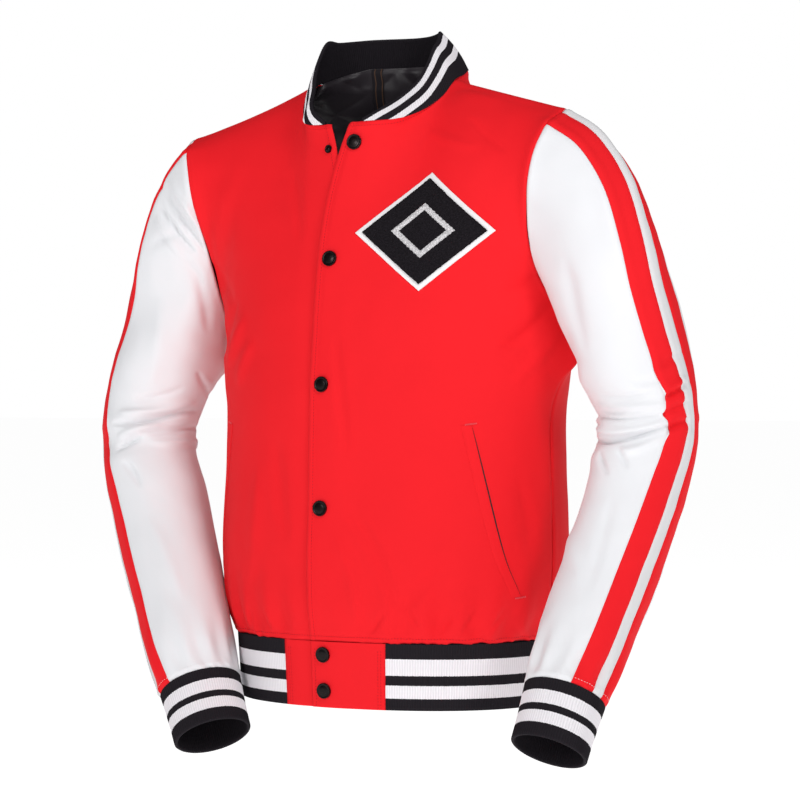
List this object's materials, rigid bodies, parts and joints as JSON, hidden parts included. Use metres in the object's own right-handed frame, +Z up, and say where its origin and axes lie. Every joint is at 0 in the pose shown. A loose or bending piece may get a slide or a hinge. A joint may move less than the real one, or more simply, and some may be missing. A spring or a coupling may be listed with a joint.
{
  "type": "bomber jacket",
  "caption": "Snap-front softshell bomber jacket in worn shape, with white sleeves, side stripes and striped knit collar, cuffs and hem.",
  "frame": {"origin": "middle of the neck opening, level with the inner ends of the shoulder seams, where the wearer's shoulders carry the jacket", "axes": "+Z up along the body, -Y towards the front, +X towards the wearer's left"},
  "size_m": [0.6808, 0.3144, 0.7409],
  "materials": {
    "shell_red": "matte softshell",
    "sleeve_white": "matte softshell",
    "stripe_pale": "matte softshell",
    "rib_black": "rib knit, black with white stripes on the outside",
    "lining_black": "smooth quilted lining",
    "tape_black": "woven tape",
    "snap_metal": "dark gunmetal, satin",
    "badge_white": "felt",
    "badge_black": "looped chenille pile"
  },
  "bodies": {
    "root": {"back": "shell_red", "badge_felt": "badge_white", "badge_motif": "badge_white", "badge_pile": "badge_black", "collar_rib": "rib_black", "cuff_left": "rib_black", "cuff_right": "rib_black", "front_left": "shell_red", "front_right": "shell_red", "hem_rib": "rib_black", "neck_lining": "lining_black", "neck_tape": "tape_black", "sleeve_left_pale": "stripe_pale", "sleeve_left_red_back": "shell_red", "sleeve_left_red_front": "shell_red", "sleeve_left_white_back_lower": "sleeve_white", "sleeve_left_white_back_upper": "sleeve_white", "sleeve_left_white_front": "sleeve_white", "sleeve_right_pale": "stripe_pale", "sleeve_right_red_back": "shell_red", "sleeve_right_red_front": "shell_red", "sleeve_right_white_back_lower": "sleeve_white", "sleeve_right_white_back_upper": "sleeve_white", "sleeve_right_white_front": "sleeve_white", "snap_1": "snap_metal", "snap_2": "snap_metal", "snap_3": "snap_metal", "snap_4": "snap_metal", "snap_5": "snap_metal", "snap_6": "snap_metal", "snap_stud": "snap_metal", "tab_left": "shell_red", "tab_right": "shell_red", "welt_left": "shell_red", "welt_right": "shell_red"}
  },
  "joints": []
}
